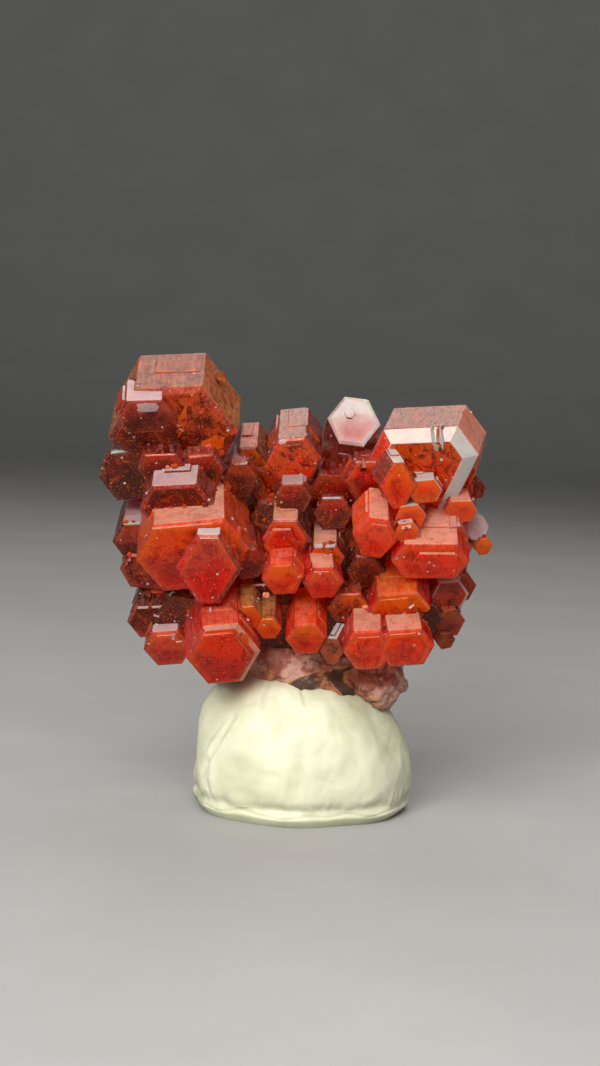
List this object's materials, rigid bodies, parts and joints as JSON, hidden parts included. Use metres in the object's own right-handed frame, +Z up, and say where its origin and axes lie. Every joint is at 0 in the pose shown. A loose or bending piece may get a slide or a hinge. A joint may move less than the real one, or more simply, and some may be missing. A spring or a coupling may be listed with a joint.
{
  "type": "vanadinite on matrix mineral specimen",
  "caption": "Cluster of red-orange hexagonal vanadinite crystals on a pale rock, held upright in a mound of mounting putty with a flat base.",
  "frame": {"origin": "middle of the mound's flat underside", "axes": "+Z up, -Y towards the side where the crystals' end faces show, +X to the right seen from there"},
  "size_m": [0.0311, 0.0195, 0.0362],
  "materials": {
    "vanadinite": "glossy flat crystal faces, translucent red to orange",
    "rock": "rough pale pink-white rock with dark brown bands",
    "putty": "soft matt, pale greenish white"
  },
  "bodies": {
    "root": {"vanadinite_crystals": "vanadinite", "matrix_rock": "rock", "mounting_putty": "putty"}
  },
  "joints": []
}
